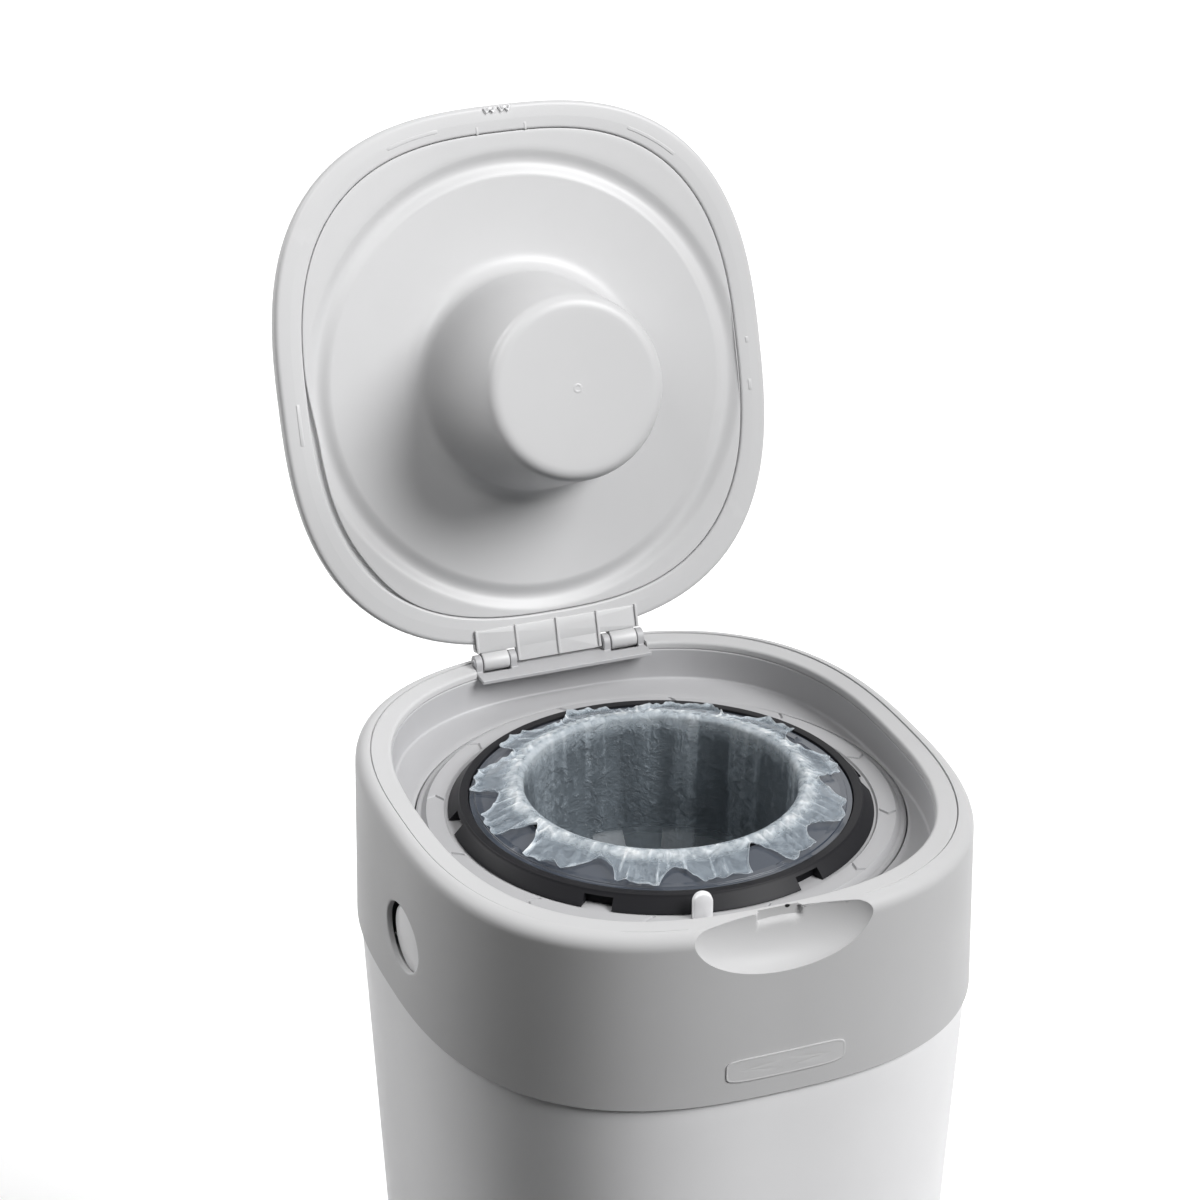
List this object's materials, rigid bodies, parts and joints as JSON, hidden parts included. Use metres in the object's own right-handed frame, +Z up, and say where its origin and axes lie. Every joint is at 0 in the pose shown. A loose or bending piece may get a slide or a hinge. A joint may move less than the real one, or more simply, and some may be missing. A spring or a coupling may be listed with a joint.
{
  "type": "nappy bin",
  "caption": "Free-standing nappy bin with a tapered tub, a lift-off collar with a twist ring and film cassette, and a hinged lid with a plunger.",
  "frame": {"origin": "on the floor, under the middle of the tub", "axes": "+Z up, -Y towards the front with the finger scoop, +X to the right as seen from the front"},
  "size_m": [0.2396, 0.3341, 0.6589],
  "materials": {
    "tub_white": "fine satin",
    "collar_grey": "fine satin",
    "frame_grey": "fine satin",
    "lid_grey": "satin",
    "white_part": "satin",
    "inner_grey": "satin",
    "cassette_black": "semi-gloss",
    "cover_navy": "gloss",
    "film": "thin translucent film",
    "badge": "satin",
    "steel": "drawn wire",
    "rubber": "matte"
  },
  "bodies": {
    "tub": {"tub_shell": "tub_white", "foot_pads": "rubber"},
    "collar": {"collar_shell": "collar_grey", "inner_frame": "frame_grey", "ring_housing": "inner_grey", "housing_screws": "steel", "nappy_fingers": "inner_grey", "click_pawl": "inner_grey", "hinge_strip": "frame_grey", "hinge_pins": "steel", "badge_plate": "badge", "button_brackets": "inner_grey", "release_spring_left": "steel", "release_spring_right": "steel"},
    "button_left": {"release_button_left": "white_part"},
    "button_right": {"release_button_right": "white_part"},
    "ring": {"twist_ring": "lid_grey", "ratchet_ring": "inner_grey"},
    "catch": {"cassette_catch": "white_part"},
    "cassette": {"cassette_body": "cassette_black", "cassette_cover": "cover_navy", "film_pack": "film", "film_liner": "film"},
    "lid": {"lid_shell": "lid_grey", "lid_panel": "lid_grey", "lid_plunger": "lid_grey", "lid_hooks": "lid_grey"}
  },
  "joints": [
    {"name": "collar_lift", "type": "slide", "parent": "tub", "child": "collar", "axis": [0, 0, 1], "range_m": [0, 0.25]},
    {"name": "release_left", "type": "slide", "parent": "collar", "child": "button_left", "axis": [1, 0, 0], "range_m": [0, 0.0025], "stiffness_N_per_m": 400, "springref_m": -0.002, "deforming": ["release_spring_left"]},
    {"name": "release_right", "type": "slide", "parent": "collar", "child": "button_right", "axis": [-1, 0, 0], "range_m": [0, 0.0025], "stiffness_N_per_m": 400, "springref_m": -0.002, "deforming": ["release_spring_right"]},
    {"name": "ring_twist", "type": "hinge", "parent": "collar", "child": "ring", "pos_m": [0, -0.002, 0.412], "axis": [0, 0, 1], "continuous": true},
    {"name": "catch_flex", "type": "hinge", "parent": "ring", "child": "catch", "pos_m": [-0.01909, -0.09179, 0.412], "axis": [0.9781, -0.2079, 0], "range_deg": [0, 6], "stiffness_Nm_per_rad": 0.05},
    {"name": "cassette_lift", "type": "slide", "parent": "ring", "child": "cassette", "axis": [0, 0, 1], "range_m": [0, 0.09]},
    {"name": "lid_hinge", "type": "hinge", "parent": "collar", "child": "lid", "pos_m": [0, 0.1178, 0.431], "axis": [-1, 0, 0], "range_deg": [-107.8, 0]}
  ]
}
